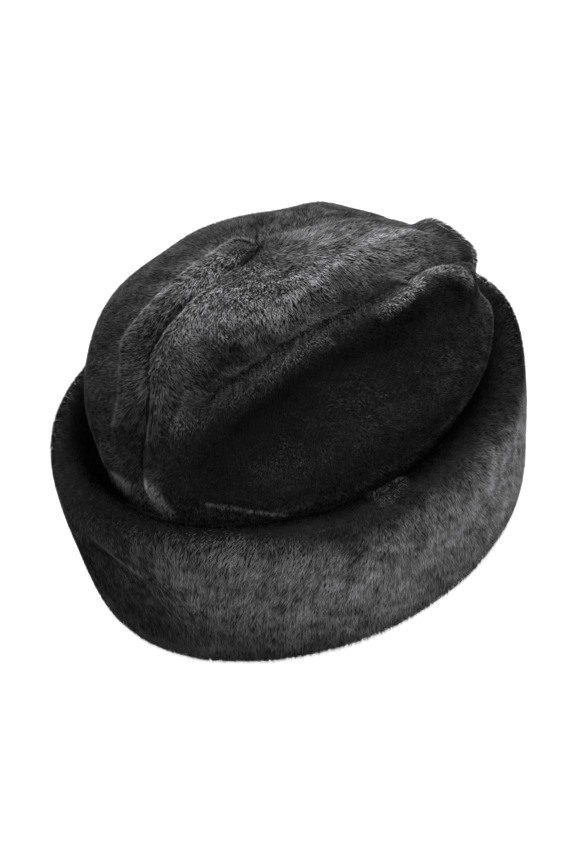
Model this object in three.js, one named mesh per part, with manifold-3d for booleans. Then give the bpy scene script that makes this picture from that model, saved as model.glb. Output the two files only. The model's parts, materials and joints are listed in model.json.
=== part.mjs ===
// A soft fur hat of the cossack kind: a domed crown in two halves, sewn together along the middle
// from front to back, inside a high turned-up cuff. All of it is short black fur fabric.
// Sizes are in millimetres, +Z is up, and the front of the hat faces -Y. The hat stands on the
// flat foot of its cuff, with the origin in the middle of its footprint.
import * as THREE from "three";
import { mergeVertices } from "three/addons/utils/BufferGeometryUtils.js";
import Module from "manifold-3d";

// The opening that the head goes into
const head_length = 198;
const head_width = 168;

// The crown, from the floor to its top, and across its widest part above the cuff
const crown_height = 165;
const crown_length = 228;
const crown_width = 198;
// The crown's cloth where the cuff hides it, and its fur fabric with the pile where it shows
const cloth_wall = 4;
const fur_wall = 9;
// The crown's lower edge stays this far above the floor
const crown_edge_lift = 3;
// The cut between the crown's two halves
const seam_gap = 0.5;

// The cuff: a folded band of fur fabric, its pile included
const cuff_height = 86;
const cuff_thickness = 25;
// The space between the cuff and the crown
const sewn_gap = 0.35;

// What a fold's width and height are shares of
const fold_width = 20;
const fold_height = 10;
// How far the folds show on the inside of the crown
const fold_show_through = 0.75;

// Facets
const crown_turns = 90;
const crown_steps = 26;
const lining_turns = 36;
const lining_steps = 10;
const cuff_turns = 90;
const cuff_steps = 18;
const fold_path_steps = 24;

// The crown's outline above the cuff. up is a share of the way from the cuff's top to the crown's,
// and reach a share of the crown's half length and half width. ahead moves a level towards the
// front and right towards +X, as shares of the half length and the half width.
const CROWN_SECTIONS = [
  { up: 0, reach: 0.99, ahead: 0, right: 0 },
  { up: 0.2, reach: 0.985, ahead: -0.005, right: -0.01 },
  { up: 0.4, reach: 0.94, ahead: -0.02, right: -0.04 },
  { up: 0.6, reach: 0.84, ahead: -0.035, right: -0.08 },
  { up: 0.77, reach: 0.695, ahead: -0.045, right: -0.1 },
  { up: 0.89, reach: 0.52, ahead: -0.05, right: -0.115 },
  { up: 0.97, reach: 0.3, ahead: -0.05, right: -0.12 },
  { up: 1, reach: 0, ahead: -0.05, right: -0.12 },
];
// The crown grows from its size in the cuff to its full size between these shares of cuff_height
const crown_grows_from = 0.72;
const crown_grows_to = 1.2;

// How the crown's outline changes round the hat. turn is degrees from the front towards +X, and
// reach and up multiply the outline's own, above the cuff.
const CROWN_TURNS = [
  { turn: 0, reach: 0.89, up: 1.03 },
  { turn: 45, reach: 1, up: 0.99 },
  { turn: 90, reach: 0.98, up: 1 },
  { turn: 135, reach: 1.06, up: 1.04 },
  { turn: 180, reach: 1, up: 0.95 },
  { turn: 225, reach: 1.02, up: 0.96 },
  { turn: 270, reach: 0.97, up: 0.98 },
  { turn: 315, reach: 0.95, up: 1.01 },
];

// How much of the lean to the right each place along the hat has. along is a share of the
// crown's half length, from -1 at the front to 1 at the back.
const CROWN_SWAY = [
  { along: -1, sway: 0.5 },
  { along: -0.6, sway: 1.15 },
  { along: 0, sway: 0.95 },
  { along: 0.6, sway: 0 },
  { along: 1, sway: 0.4 },
];

// The crown's folds. Each follows a path of points: turn as above, and rise as a share of the way
// along the crown's outline from the cuff's top to its own. wide is a share of fold_width, and
// high of fold_height, where a crease is below 0.
const CROWN_FOLDS = {
  middle_seam: {
    wide: 0.55,
    high: -0.25,
    path: [
      { turn: 0, rise: 0 },
      { turn: 0, rise: 0.35 },
      { turn: 0, rise: 0.7 },
      { turn: 180, rise: 0.98 },
      { turn: 180, rise: 0.7 },
      { turn: 180, rise: 0.35 },
      { turn: 180, rise: 0 },
    ],
  },
  seam_crease_at_the_top: {
    wide: 0.4,
    high: -0.4,
    path: [
      { turn: 0, rise: 0.62 },
      { turn: 1, rise: 0.8 },
      { turn: 8, rise: 0.95 },
      { turn: 200, rise: 0.94 },
    ],
  },
  seam_crease_at_the_front: {
    wide: 0.35,
    high: -0.35,
    path: [
      { turn: 1, rise: 0.2 },
      { turn: 1, rise: 0.32 },
      { turn: 0, rise: 0.45 },
    ],
  },
  pucker_left_of_the_seam: {
    wide: 0.4,
    high: 0.35,
    path: [
      { turn: 351, rise: 0.18 },
      { turn: 352, rise: 0.3 },
      { turn: 347, rise: 0.42 },
    ],
  },
  pucker_right_of_the_seam: {
    wide: 0.45,
    high: 0.3,
    path: [
      { turn: 9, rise: 0.22 },
      { turn: 9, rise: 0.33 },
      { turn: 10, rise: 0.44 },
    ],
  },
  tongue_left_of_the_seam: {
    wide: 0.5,
    high: 0.6,
    path: [
      { turn: 343, rise: 0.46 },
      { turn: 344, rise: 0.54 },
      { turn: 340, rise: 0.64 },
      { turn: 330, rise: 0.76 },
      { turn: 310, rise: 0.88 },
      { turn: 244, rise: 0.94 },
    ],
  },
  valley_left_of_the_tongue: {
    wide: 0.5,
    high: -0.35,
    path: [
      { turn: 334, rise: 0.4 },
      { turn: 333, rise: 0.56 },
      { turn: 321, rise: 0.68 },
      { turn: 303, rise: 0.79 },
      { turn: 262, rise: 0.86 },
    ],
  },
  hollow_right_of_the_seam: {
    wide: 0.6,
    high: -0.4,
    path: [
      { turn: 10, rise: 0.61 },
      { turn: 24, rise: 0.55 },
    ],
  },
  upper_ridge: {
    wide: 0.85,
    high: 0.4,
    path: [
      { turn: 146, rise: 0.42 },
      { turn: 144, rise: 0.54 },
      { turn: 132, rise: 0.65 },
      { turn: 105, rise: 0.74 },
      { turn: 70, rise: 0.74 },
      { turn: 46, rise: 0.67 },
      { turn: 30, rise: 0.54 },
    ],
  },
  valley_between_the_ridges: {
    wide: 0.75,
    high: -0.55,
    path: [
      { turn: 142, rise: 0.42 },
      { turn: 118, rise: 0.54 },
      { turn: 98, rise: 0.59 },
      { turn: 74, rise: 0.61 },
      { turn: 50, rise: 0.56 },
      { turn: 26, rise: 0.42 },
    ],
  },
  lower_ridge: {
    wide: 0.6,
    high: 0.5,
    path: [
      { turn: 142, rise: 0.34 },
      { turn: 124, rise: 0.46 },
      { turn: 98, rise: 0.48 },
      { turn: 68, rise: 0.5 },
      { turn: 50, rise: 0.45 },
      { turn: 36, rise: 0.39 },
      { turn: 20, rise: 0.26 },
    ],
  },
  sunken_near_side: {
    wide: 1.3,
    high: -0.35,
    path: [
      { turn: 130, rise: 0.2 },
      { turn: 98, rise: 0.28 },
      { turn: 64, rise: 0.29 },
      { turn: 32, rise: 0.18 },
    ],
  },
  back_corner: {
    wide: 0.8,
    high: 0.6,
    path: [
      { turn: 158, rise: 0.37 },
      { turn: 152, rise: 0.31 },
      { turn: 147, rise: 0.25 },
    ],
  },
  bulge_at_the_base_left: {
    wide: 0.6,
    high: 0.3,
    path: [
      { turn: 352, rise: 0.04 },
      { turn: 342, rise: 0.04 },
    ],
  },
  bulge_at_the_base_right: {
    wide: 0.6,
    high: 0.35,
    path: [
      { turn: 7, rise: 0.05 },
      { turn: 12, rise: 0.03 },
    ],
  },
  dent_on_the_far_side: {
    wide: 1.2,
    high: -0.25,
    path: [
      { turn: 300, rise: 0.5 },
      { turn: 262, rise: 0.46 },
      { turn: 225, rise: 0.52 },
    ],
  },
  dent_at_the_back: {
    wide: 0.9,
    high: -0.35,
    path: [
      { turn: 205, rise: 0.25 },
      { turn: 208, rise: 0.5 },
      { turn: 222, rise: 0.7 },
    ],
  },
};

// The cuff's section, from the outer edge of its foot up the outside and over to the crown. out is
// a share of cuff_thickness away from the crown's side, and up is a share of cuff_height.
const CUFF_SECTION = [
  { out: 0.5, up: 0 },
  { out: 0.75, up: 0.07 },
  { out: 0.87, up: 0.22 },
  { out: 0.93, up: 0.42 },
  { out: 0.99, up: 0.62 },
  { out: 1, up: 0.8 },
  { out: 0.92, up: 0.92 },
  { out: 0.72, up: 0.985 },
  { out: 0.45, up: 1 },
  { out: 0.2, up: 0.97 },
  { out: 0, up: 0.9 },
  { out: -0.2, up: 0.78 },
];
// The cuff is drawn this share of its thickness into the crown, which is then cut out of it
const cuff_tuck = 0.2;

// How the cuff changes round the hat: out multiplies its thickness and up its height, and flare
// leans its upper part out by that share of its thickness.
const CUFF_TURNS = [
  { turn: 0, out: 1.02, up: 1.01, flare: 0.04 },
  { turn: 45, out: 0.95, up: 1.02, flare: 0 },
  { turn: 90, out: 1.02, up: 0.98, flare: 0 },
  { turn: 135, out: 1.1, up: 1.03, flare: 0.02 },
  { turn: 160, out: 1.06, up: 1.06, flare: 0.35 },
  { turn: 200, out: 1, up: 1.02, flare: 0.2 },
  { turn: 240, out: 1, up: 0.99, flare: 0.1 },
  { turn: 285, out: 0.92, up: 0.98, flare: 0.2 },
  { turn: 320, out: 0.9, up: 1.02, flare: 0.2 },
];

// The cuff's folds, as the crown's, with rise as a share of the way along the cuff's section.
const CUFF_FOLDS = {
  dip_in_the_rim: {
    wide: 0.8,
    high: -0.5,
    path: [
      { turn: 58, rise: 0.66 },
      { turn: 59, rise: 0.75 },
    ],
  },
  wrinkle_at_the_front: {
    wide: 0.45,
    high: -0.35,
    path: [
      { turn: 352, rise: 0.55 },
      { turn: 0, rise: 0.52 },
      { turn: 8, rise: 0.47 },
    ],
  },
  swell_at_the_near_side: {
    wide: 1.5,
    high: 0.25,
    path: [
      { turn: 84, rise: 0.6 },
      { turn: 112, rise: 0.64 },
    ],
  },
  swell_low_at_the_front: {
    wide: 0.9,
    high: 0.3,
    path: [
      { turn: 8, rise: 0.2 },
      { turn: 20, rise: 0.18 },
    ],
  },
};

const { lerp, degToRad, radToDeg, clamp, smoothstep } = THREE.MathUtils;

const wasm = await Module();
wasm.setup();

// A smooth line through one column of a table, over its key column.
function column(rows, key, name) {
  const keys = rows.map((row) => row[key]);
  const values = rows.map((row) => row[name]);
  const curve = new THREE.CubicInterpolant(keys, values, 1);
  return (at) => curve.evaluate(clamp(at, keys[0], keys[keys.length - 1]))[0];
}

// The same for a table that goes round the hat, over the turn in radians.
function roundColumn(rows, name) {
  const laps = [-360, 0, 360].flatMap((lap) => rows.map((row) => ({ ...row, turn: row.turn + lap })));
  const line = column(laps, "turn", name);
  return (turn) => line((radToDeg(turn) + 360) % 360);
}

// A closed three.js geometry as a manifold-3d solid.
function solidOf(geometry) {
  const bare = geometry.clone();
  bare.deleteAttribute("normal");
  bare.deleteAttribute("uv");
  const merged = mergeVertices(bare, 1e-4);
  return new wasm.Manifold(
    new wasm.Mesh({
      numProp: 3,
      vertProperties: new Float32Array(merged.attributes.position.array),
      triVerts: new Uint32Array(merged.index.array),
    }),
  );
}

// A manifold-3d solid as a three.js geometry.
function geometryOf(solid) {
  const mesh = solid.getMesh();
  const geometry = new THREE.BufferGeometry();
  geometry.setAttribute("position", new THREE.BufferAttribute(mesh.vertProperties, 3));
  geometry.setIndex(new THREE.BufferAttribute(mesh.triVerts, 1));
  geometry.computeVertexNormals();
  return geometry;
}

// Moves each vertex of a geometry as move(vertex, normal) does.
function moved(geometry, move) {
  const position = geometry.attributes.position;
  const normals = geometry.attributes.normal;
  const at = new THREE.Vector3();
  const normal = new THREE.Vector3();
  for (let i = 0; i < position.count; i++) {
    at.fromBufferAttribute(position, i);
    normal.fromBufferAttribute(normals, i);
    move(at, normal);
    position.setXYZ(i, at.x, at.y, at.z);
  }
  geometry.computeVertexNormals();
  return geometry;
}

// Turns a profile of (distance, height) points about the axis, then puts each vertex where
// place(turn, distance, height) says. turn is in radians from the front towards +X.
function turned(profile, turns, place) {
  const lathe = new THREE.LatheGeometry(profile, turns);
  lathe.deleteAttribute("normal");
  lathe.deleteAttribute("uv");
  const geometry = mergeVertices(lathe, 1e-4);
  geometry.computeVertexNormals();
  return moved(geometry, (at) => at.copy(place(Math.atan2(at.x, at.z), Math.hypot(at.x, at.z), at.y)));
}

// The crown's outline, in millimetres, as long as the middle of its half length and half width
const crown_radius = (crown_length + crown_width) / 4;
const crown_outline = new THREE.SplineCurve(
  CROWN_SECTIONS.map(
    (row) => new THREE.Vector2(row.reach * crown_radius, lerp(cuff_height, crown_height, row.up)),
  ),
);
const crownReach = roundColumn(CROWN_TURNS, "reach");
const crownUp = roundColumn(CROWN_TURNS, "up");
const crownAhead = column(CROWN_SECTIONS, "up", "ahead");
const crownRight = column(CROWN_SECTIONS, "up", "right");
const crownSway = column(CROWN_SWAY, "along", "sway");

// The crown's outline from the middle of its lower edge, with this many steps above the cuff.
function crownProfile(steps, edge) {
  const hidden = [edge, cuff_height * 0.4, cuff_height * crown_grows_from];
  const wall = hidden.map((height) => new THREE.Vector2(crown_radius, height));
  const dome = crown_outline.getSpacedPoints(steps);
  dome[steps].x = 0;
  return [new THREE.Vector2(0, edge), ...wall, ...dome];
}

// The point of the crown's smooth form before it leans.
function crownPoint(turn, distance, height) {
  const share = distance / crown_radius;
  const grown = smoothstep(height, cuff_height * crown_grows_from, cuff_height * crown_grows_to);
  const reach = share * lerp(1, crownReach(turn), grown);
  const half_length = lerp(head_length / 2 + cloth_wall, crown_length / 2, grown);
  const half_width = lerp(head_width / 2 + cloth_wall, crown_width / 2, grown);
  const shown = Math.max(0, height - cuff_height);
  return new THREE.Vector3(
    half_width * reach * Math.sin(turn),
    -half_length * reach * Math.cos(turn),
    height + shown * (crownUp(turn) - 1) * smoothstep(share, 0, 0.7),
  );
}

// Leans the crown over as its sections say.
function leaned(geometry) {
  return moved(geometry, (at) => {
    const up = (at.z - cuff_height) / (crown_height - cuff_height);
    const along = at.y / (crown_length / 2);
    at.x += (crown_width / 2) * crownRight(up) * crownSway(along);
    at.y -= (crown_length / 2) * crownAhead(up);
  });
}

// The folds of a table with their paths as lines of points, through pointAt(turn, rise).
function foldLines(table, pointAt) {
  return Object.values(table).map(({ wide, high, path }) => {
    const corners = path.map(({ turn, rise }) => pointAt(degToRad(turn), rise));
    return { wide, high, line: new THREE.CatmullRomCurve3(corners).getPoints(fold_path_steps) };
  });
}

// How far folds lift or sink the surface at a point.
function foldLift(folds, point) {
  const segment = new THREE.Line3();
  const nearest = new THREE.Vector3();
  let lift = 0;
  for (const { wide, high, line } of folds) {
    let distance = Infinity;
    for (let i = 1; i < line.length; i++) {
      segment.set(line[i - 1], line[i]).closestPointToPoint(point, true, nearest);
      distance = Math.min(distance, nearest.distanceTo(point));
    }
    const share = Math.min(1, distance / (wide * fold_width));
    lift += high * fold_height * (1 - share * share) ** 2;
  }
  return lift;
}

const crown_folds = foldLines(CROWN_FOLDS, (turn, rise) => {
  const { x, y } = crown_outline.getPointAt(rise);
  return crownPoint(turn, x, y);
});

// The crown's outside, grown by this much and closed across its lower edge, before it leans.
function crownOutside(growth, edge) {
  const outside = turned(crownProfile(crown_steps, edge), crown_turns, crownPoint);
  return moved(outside, (at, normal) => at.addScaledVector(normal, foldLift(crown_folds, at) + growth));
}

// The hollow that the head fills, which reaches out below the crown's edge, before it leans.
function crownHollow() {
  const inside = turned(crownProfile(lining_steps, crown_edge_lift), lining_turns, crownPoint);
  moved(inside, (at, normal) => {
    const grown = smoothstep(at.z, cuff_height * crown_grows_from, cuff_height * crown_grows_to);
    const wall = lerp(cloth_wall, fur_wall, grown);
    at.addScaledVector(normal, foldLift(crown_folds, at) * fold_show_through - wall);
  });
  const top = cuff_height * 0.3;
  const mouth_sides = [0, 1, 1, 0].map((reach, i) => new THREE.Vector2(reach, i < 2 ? -top : top));
  const mouth = turned(mouth_sides, lining_turns, (turn, reach, height) => {
    const [x, y] = [(head_width / 2) * Math.sin(turn), (-head_length / 2) * Math.cos(turn)];
    return new THREE.Vector3(reach * x, reach * y, height);
  });
  return solidOf(inside).add(solidOf(mouth));
}

// The left and right halves of the crown, cut apart at the middle seam.
function crownHalves() {
  const shell = solidOf(crownOutside(0, crown_edge_lift)).subtract(crownHollow());
  const size = crown_length + crown_width + crown_height;
  const half = (side) => {
    const block = new THREE.BoxGeometry(size, size, 2 * size);
    block.translate((side * (size + seam_gap)) / 2, 0, 0);
    return leaned(geometryOf(shell.intersect(solidOf(block))));
  };
  return { crown_left: half(-1), crown_right: half(1) };
}

const cuff_section = new THREE.SplineCurve(
  CUFF_SECTION.map((row) => new THREE.Vector2(row.out * cuff_thickness, row.up * cuff_height)),
);
const cuffOut = roundColumn(CUFF_TURNS, "out");
const cuffUp = roundColumn(CUFF_TURNS, "up");
const cuffFlare = roundColumn(CUFF_TURNS, "flare");

// The point of the cuff's smooth form for a point of its section, out from the crown and up.
function cuffPoint(turn, out, up) {
  const height = Math.max(0, up);
  const flare = cuffFlare(turn) * cuff_thickness * (height / cuff_height) ** 2;
  const beyond = cloth_wall + (out > 0 ? out * cuffOut(turn) + flare : out);
  return new THREE.Vector3(
    (head_width / 2 + beyond) * Math.sin(turn),
    -(head_length / 2 + beyond) * Math.cos(turn),
    height * cuffUp(turn),
  );
}

// The turned-up band round the crown, which presses into it.
function cuff() {
  const corner = new THREE.Vector2(-cuff_tuck * cuff_thickness, 0);
  const section = [corner, ...cuff_section.getSpacedPoints(cuff_steps), corner.clone()];
  const middle = new THREE.Vector2(cuff_thickness, 0);
  const profile = section.map((point) => point.clone().add(middle));
  const band = turned(profile, cuff_turns, (turn, distance, up) => cuffPoint(turn, distance - middle.x, up));
  const folds = foldLines(CUFF_FOLDS, (turn, rise) => {
    const { x, y } = cuff_section.getPointAt(rise);
    return cuffPoint(turn, x, y);
  });
  moved(band, (at, normal) => {
    if (at.z > 0) at.addScaledVector(normal, foldLift(folds, at));
    at.z = Math.max(0, at.z);
  });
  const crown = leaned(crownOutside(sewn_gap, -crown_edge_lift));
  return geometryOf(solidOf(band).subtract(solidOf(crown)));
}

const fur = new THREE.MeshStandardMaterial({ color: 0x1c1c1c, roughness: 0.85, metalness: 0 });

const hat = new THREE.Group();
for (const [name, geometry] of Object.entries({ ...crownHalves(), cuff: cuff() })) {
  const mesh = new THREE.Mesh(geometry, fur.clone());
  mesh.name = name;
  hat.add(mesh);
}

// The footprint's middle goes to the origin
const middle = new THREE.Box3().setFromObject(hat).getCenter(new THREE.Vector3());
hat.position.set(-middle.x, -middle.y, 0);

export default hat;
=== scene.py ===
"""A soft fur hat of the cossack kind: a domed crown of two panels inside a turned-up cuff.

The cloth of each piece is turned from the same shares as its solid, and short black pile grows on it
as single hairs. Sizes are in metres, +Z is up and the front of the hat faces -Y.
"""

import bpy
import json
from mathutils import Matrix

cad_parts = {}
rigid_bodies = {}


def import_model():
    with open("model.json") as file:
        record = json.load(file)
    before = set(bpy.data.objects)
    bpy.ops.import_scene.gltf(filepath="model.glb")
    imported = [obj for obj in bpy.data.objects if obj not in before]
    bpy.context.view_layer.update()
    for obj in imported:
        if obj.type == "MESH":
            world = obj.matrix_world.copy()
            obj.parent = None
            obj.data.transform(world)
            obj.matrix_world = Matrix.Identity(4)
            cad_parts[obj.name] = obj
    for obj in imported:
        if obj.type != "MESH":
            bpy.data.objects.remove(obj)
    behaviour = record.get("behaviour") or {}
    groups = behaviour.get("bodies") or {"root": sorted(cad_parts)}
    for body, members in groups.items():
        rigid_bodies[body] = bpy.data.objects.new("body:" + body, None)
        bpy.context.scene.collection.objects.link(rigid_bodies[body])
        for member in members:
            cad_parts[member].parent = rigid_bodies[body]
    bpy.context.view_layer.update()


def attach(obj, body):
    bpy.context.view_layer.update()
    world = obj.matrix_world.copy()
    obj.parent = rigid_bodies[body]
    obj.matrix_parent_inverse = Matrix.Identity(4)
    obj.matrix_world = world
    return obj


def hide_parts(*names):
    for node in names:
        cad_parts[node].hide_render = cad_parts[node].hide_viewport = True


bl_info = {
    "name": "Cossack fur hat",
    "version": (1, 0, 0),
    "blender": (4, 5, 0),
    "location": "View3D > Sidebar > Fur hat",
    "description": "Builds the cloth and the pile of a soft fur hat around its solids, and a studio for it",
    "category": "Object",
}

import json
import math

import bmesh
import bpy
import numpy as np
from bpy.props import FloatProperty, FloatVectorProperty, PointerProperty
from bpy.types import Operator, Panel, PropertyGroup
from mathutils import Matrix, Vector
from mathutils.bvhtree import BVHTree

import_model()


def linear(code):
    """The linear colour of an sRGB hex code."""
    shares = [int(code[i:i + 2], 16) / 255 for i in (1, 3, 5)]
    return [s / 12.92 if s <= 0.04045 else ((s + 0.055) / 1.055) ** 2.4 for s in shares]


# The place of the crown's axis in the frame, whose origin is the middle of the footprint
HAT_AXIS = np.array([-0.000802, -0.002602, 0])

# The crown's outline above the cuff. up is a share of the way from the cuff's top to the crown's,
# and reach a share of the half length and half width. ahead and right lean a level over.
CROWN_SECTIONS = (
    {"up": 0, "reach": 0.99, "ahead": 0, "right": 0},
    {"up": 0.2, "reach": 0.985, "ahead": -0.005, "right": -0.01},
    {"up": 0.4, "reach": 0.94, "ahead": -0.02, "right": -0.04},
    {"up": 0.6, "reach": 0.84, "ahead": -0.035, "right": -0.08},
    {"up": 0.77, "reach": 0.695, "ahead": -0.045, "right": -0.1},
    {"up": 0.89, "reach": 0.52, "ahead": -0.05, "right": -0.115},
    {"up": 0.97, "reach": 0.3, "ahead": -0.05, "right": -0.12},
    {"up": 1, "reach": 0, "ahead": -0.05, "right": -0.12},
)
# How the outline changes round the hat. turn is degrees from the front towards +X.
CROWN_TURNS = (
    {"turn": 0, "reach": 0.89, "up": 1.03},
    {"turn": 45, "reach": 1, "up": 0.99},
    {"turn": 90, "reach": 0.98, "up": 1},
    {"turn": 135, "reach": 1.06, "up": 1.04},
    {"turn": 180, "reach": 1, "up": 0.95},
    {"turn": 225, "reach": 1.02, "up": 0.96},
    {"turn": 270, "reach": 0.97, "up": 0.98},
    {"turn": 315, "reach": 0.95, "up": 1.01},
)
# How much of the lean to the right each place along the hat has, from -1 at the front to 1 at the back
CROWN_SWAY = (
    {"along": -1, "sway": 0.5},
    {"along": -0.6, "sway": 1.15},
    {"along": 0, "sway": 0.95},
    {"along": 0.6, "sway": 0},
    {"along": 1, "sway": 0.4},
)
# The crown grows from its size in the cuff to its full size between these shares of the cuff's height
CROWN_GROWS = (0.72, 1.2)

# Where the seam between the two panels runs, as (turn, rise) points from the front to the top
SEAM = ((0, 0), (0, 0.12), (2, 0.3), (1, 0.345), (358, 0.4), (355, 0.46), (355, 0.54), (356, 0.63),
        (357, 0.69), (358, 0.72), (1, 0.79), (1, 0.845), (356, 0.936), (227, 0.946), (229, 0.843))
# Folds: name, width and height as shares of the fold sizes, and a path of (turn, rise) points. rise is
# a share of the way along the crown's outline from the cuff's top to the crown's.
CROWN_FOLDS = (
    ("seam_at_the_back", 0.3, -0.12, ((190, 0.86), (180, 0.7), (180, 0.35), (180, 0))),
    ("seam_crease", 0.35, -0.25, SEAM),
    ("pucker_left_of_the_seam", 0.4, 0.35, ((351, 0.18), (352, 0.3), (347, 0.42))),
    ("pucker_right_of_the_seam", 0.45, 0.3, ((9, 0.22), (9, 0.33), (10, 0.44))),
    ("tongue_left_of_the_seam", 0.5, 0.42,
     ((344, 0.46), (346, 0.56), (347, 0.66), (346, 0.735), (341, 0.81), (327, 0.89), (280, 0.93))),
    ("valley_left_of_the_tongue", 0.6, -0.15,
     ((334, 0.4), (333, 0.56), (321, 0.68), (303, 0.79), (262, 0.86))),
    ("hollow_right_of_the_seam", 0.6, -0.25, ((10, 0.61), (24, 0.55))),
    ("upper_ridge", 0.85, 0.32,
     ((146, 0.42), (144, 0.54), (132, 0.65), (105, 0.74), (70, 0.74), (46, 0.67), (30, 0.54))),
    ("valley_between_the_ridges", 0.75, -0.4,
     ((142, 0.42), (118, 0.54), (98, 0.59), (74, 0.61), (50, 0.56), (26, 0.42))),
    ("lower_ridge", 0.6, 0.4,
     ((139, 0.32), (134, 0.4), (127, 0.46), (98, 0.475), (68, 0.5), (50, 0.45), (36, 0.39), (20, 0.26))),
    ("lower_ridge_crest", 0.25, 0.22,
     ((133, 0.31), (130, 0.4), (128, 0.434), (123, 0.47), (113, 0.474), (106, 0.469), (97, 0.471))),
    ("crease_above_the_lower_ridge", 0.3, -0.35, ((146, 0.3), (131, 0.446), (126, 0.477), (118, 0.498))),
    ("sunken_near_side", 1.3, -0.4, ((130, 0.2), (98, 0.28), (64, 0.29), (32, 0.18))),
    ("back_corner", 0.65, 0.8, ((160, 0.38), (155, 0.33), (151, 0.28))),
    ("below_the_back_corner", 0.6, -0.35, ((150, 0.14), (144, 0.2))),
    ("bulge_at_the_base_left", 0.6, 0.3, ((352, 0.04), (342, 0.04))),
    ("bulge_at_the_base_right", 0.6, 0.35, ((7, 0.05), (12, 0.03))),
    ("dent_on_the_far_side", 1.2, -0.25, ((300, 0.5), (262, 0.46), (225, 0.52))),
    ("dent_at_the_back", 0.9, -0.35, ((205, 0.2), (207, 0.34))),
    ("rise_at_the_back_of_the_top", 1.2, 0.2, ((206, 0.56), (194, 0.66))),
)

# The cuff's section, from the outer edge of its foot up the outside and over to the crown
CUFF_SECTION = (
    {"out": 0.5, "up": 0},
    {"out": 0.75, "up": 0.07},
    {"out": 0.87, "up": 0.22},
    {"out": 0.93, "up": 0.42},
    {"out": 0.99, "up": 0.62},
    {"out": 1, "up": 0.8},
    {"out": 0.92, "up": 0.92},
    {"out": 0.72, "up": 0.985},
    {"out": 0.45, "up": 1},
    {"out": 0.2, "up": 0.97},
    {"out": 0, "up": 0.9},
    {"out": -0.2, "up": 0.78},
)
# How the cuff changes round the hat: its thickness, its height and how far its top leans out
CUFF_TURNS = (
    {"turn": 0, "out": 1.02, "up": 1.01, "flare": 0.04},
    {"turn": 45, "out": 0.95, "up": 1.02, "flare": 0},
    {"turn": 90, "out": 1.02, "up": 0.98, "flare": 0},
    {"turn": 135, "out": 1.14, "up": 1.03, "flare": 0.02},
    {"turn": 160, "out": 1.09, "up": 1.05, "flare": 0.35},
    {"turn": 200, "out": 1, "up": 1.02, "flare": 0.2},
    {"turn": 240, "out": 1, "up": 0.99, "flare": 0.1},
    {"turn": 285, "out": 0.95, "up": 0.98, "flare": 0.28},
    {"turn": 320, "out": 0.95, "up": 1.02, "flare": 0.17},
)
# The cuff's folds, as the crown's, with rise as a share of the way along the cuff's section
CUFF_FOLDS = (
    ("dip_in_the_rim", 0.8, -0.2, ((58, 0.66), (59, 0.75))),
    ("wrinkle_at_the_front", 0.45, -0.35, ((352, 0.55), (0, 0.52), (8, 0.47))),
    ("swell_at_the_near_side", 1.5, 0.25, ((84, 0.6), (112, 0.64))),
    ("swell_low_at_the_front", 0.9, 0.3, ((8, 0.2), (20, 0.18))),
)

# How the pile lies round places on the hat: turn, rise, reach, comb, lift and tone. reach is how far the
# place holds sway in metres, comb the angle in degrees from straight down, towards the larger turns, lift
# the angle that a hair's tip stands off the cloth, and tone how pale the hairs are painted. The tones paint
# shade and light into the pile's colour. Low tones are painted shade, as on the near side below the lower
# ridge and between the ridges. High tones are painted highlights, as on the tongue and the upper ridge.
CROWN_PILE = (
    (12, 0.5, 0.012, 105, 26, 0.45),
    (12, 0.4, 0.012, 90, 26, 0.45),
    (10, 0.3, 0.01, 60, 28, 0.45),
    (34, 0.5, 0.013, 40, 44, 0.2),
    (30, 0.64, 0.016, 20, 22, 1.05),
    (350, 0.38, 0.012, -55, 28, 0.55),
    (336, 0.28, 0.018, -30, 44, 0.22),
    (316, 0.42, 0.022, -25, 42, 0.18),
    (348, 0.6, 0.009, 20, 26, 1),
    (350, 0.7, 0.009, 20, 24, 2.6),
    (350, 0.79, 0.009, 20, 24, 2.9),
    (338, 0.88, 0.009, 20, 26, 2.9),
    (322, 0.76, 0.012, 0, 34, 0.5),
    (304, 0.7, 0.02, 0, 38, 0.2),
    (30, 0.16, 0.014, 0, 66, 0.3),
    (46, 0.28, 0.018, 0, 68, 0.26),
    (72, 0.3, 0.022, 0, 68, 0.26),
    (98, 0.28, 0.022, 0, 68, 0.26),
    (122, 0.22, 0.02, 0, 66, 0.26),
    (142, 0.12, 0.014, 0, 58, 0.6),
    (60, 0.12, 0.014, 0, 66, 0.3),
    (100, 0.1, 0.014, 0, 66, 0.3),
    (100, 0.57, 0.013, 0, 55, 0.08),
    (80, 0.72, 0.018, -8, 20, 1.5),
    (118, 0.69, 0.015, 6, 20, 1.8),
    (48, 0.74, 0.014, -12, 20, 1.2),
    (60, 0.9, 0.016, 10, 24, 1.1),
    (155, 0.8, 0.018, 20, 28, 1.15),
    (212, 0.76, 0.024, 10, 34, 0.25),
    (262, 0.8, 0.022, 0, 34, 0.25),
    (88, 0.51, 0.009, 0, 60, 0.08),
    (60, 0.54, 0.008, 20, 50, 0.25),
    (178, 0.5, 0.018, 0, 34, 0.3),
    (157, 0.33, 0.008, 0, 14, 0.3),
    (166, 0.4, 0.012, 0, 14, 0.3),
    (220, 0.5, 0.024, 0, 34, 0.25),
    (285, 0.45, 0.024, 0, 34, 0.22),
)
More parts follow.
